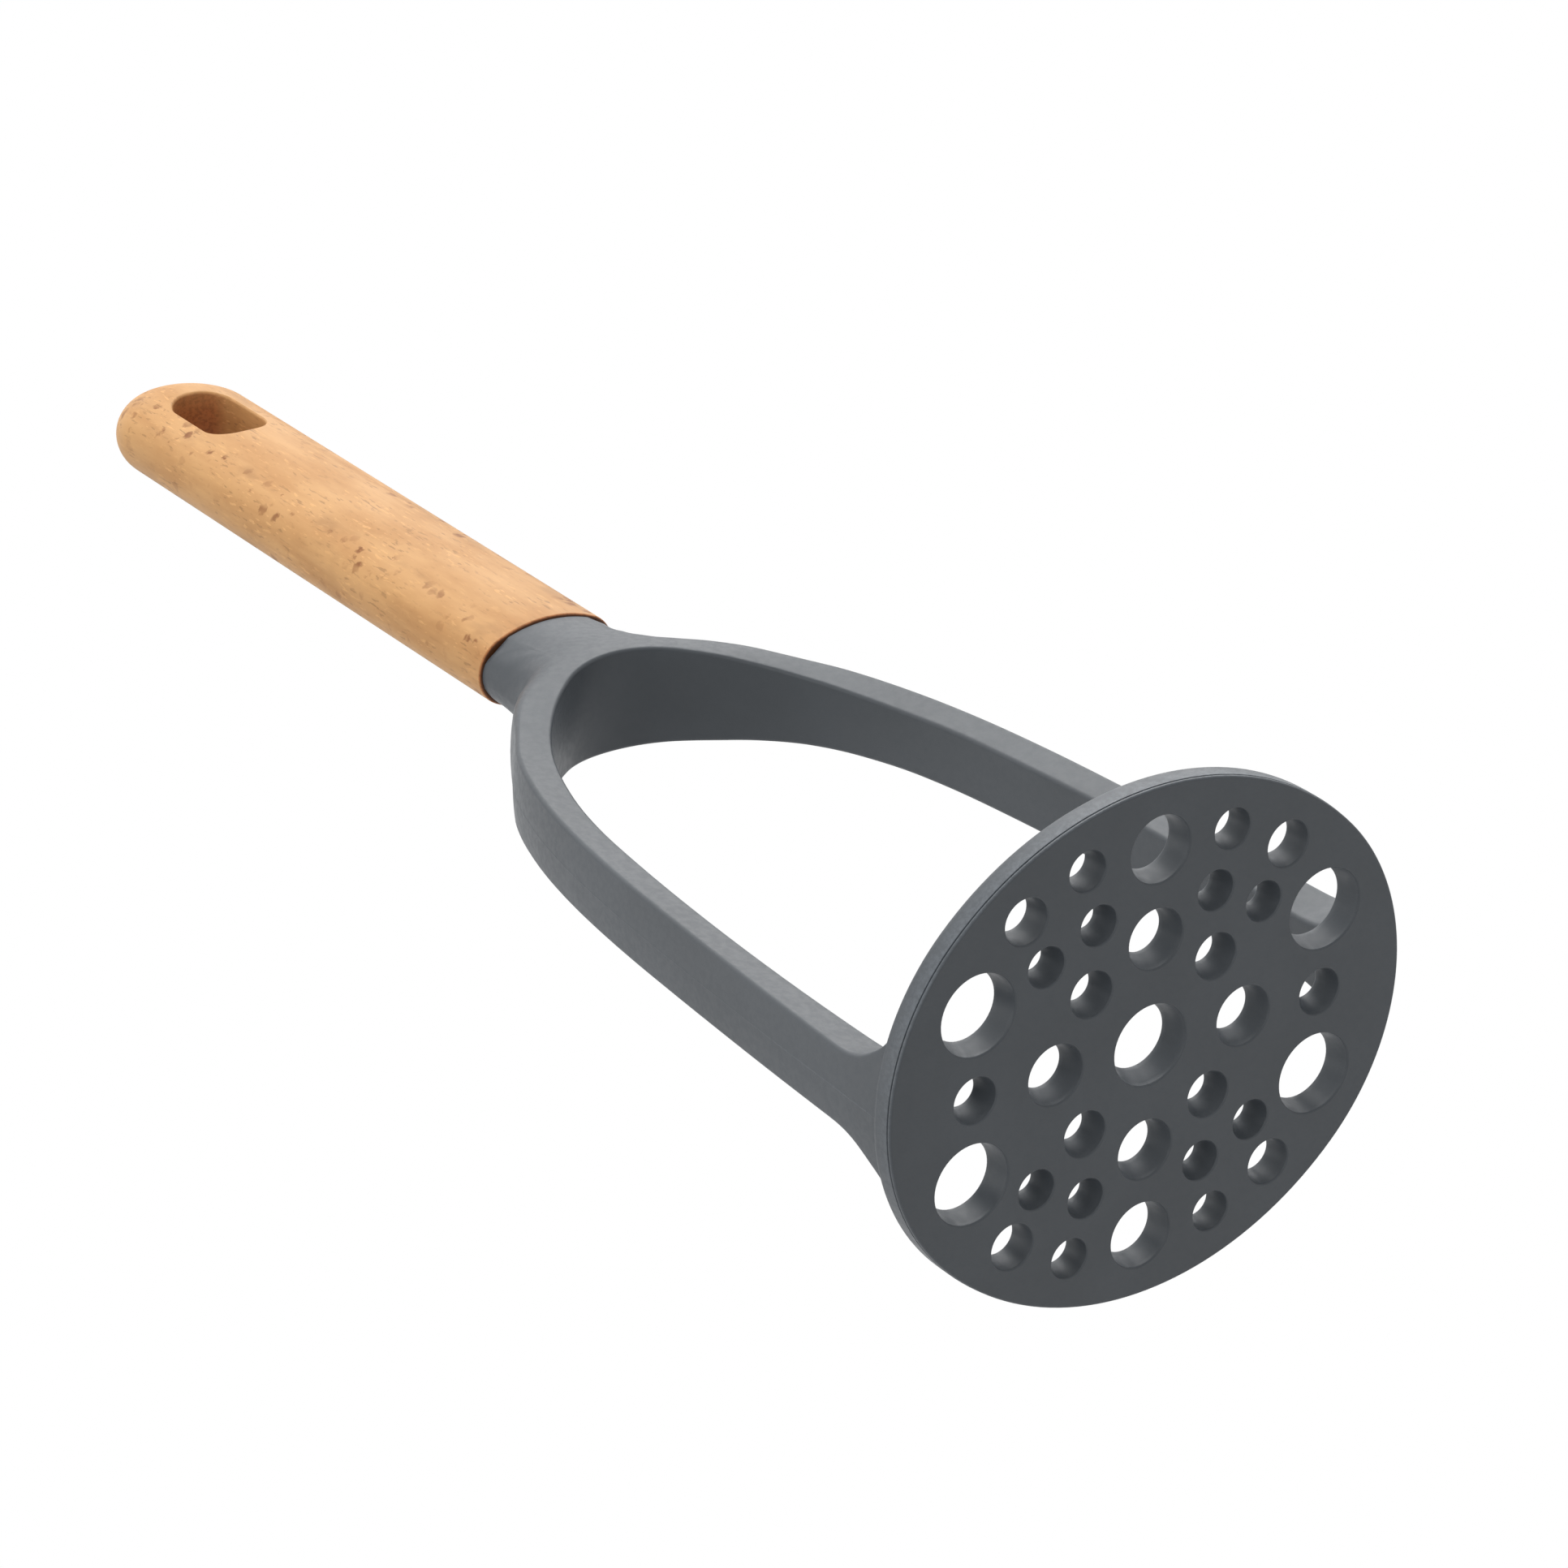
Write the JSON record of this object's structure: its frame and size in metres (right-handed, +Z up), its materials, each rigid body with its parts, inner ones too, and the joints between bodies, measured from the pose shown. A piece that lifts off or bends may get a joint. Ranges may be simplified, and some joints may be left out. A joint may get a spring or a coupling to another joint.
{
  "type": "potato masher",
  "caption": "Hand masher: an oval plate pierced with round holes, held by a hoop whose two legs meet in a neck that is glued into a flat-oval wooden grip with a hanging slot",
  "frame": {"origin": "centre of the mashing face, the flat underside of the plate", "axes": "+Z up the handle, +X along the plate's long axis through the two legs, +Y across the hoop"},
  "size_m": [0.085, 0.0758, 0.2648],
  "materials": {
    "nylon": "satin moulded nylon",
    "beech": "oiled, fine straight grain",
    "glue": "cured adhesive"
  },
  "bodies": {
    "root": {"masher_head": "nylon", "handle": "beech", "adhesive_sleeve": "glue"}
  },
  "joints": []
}
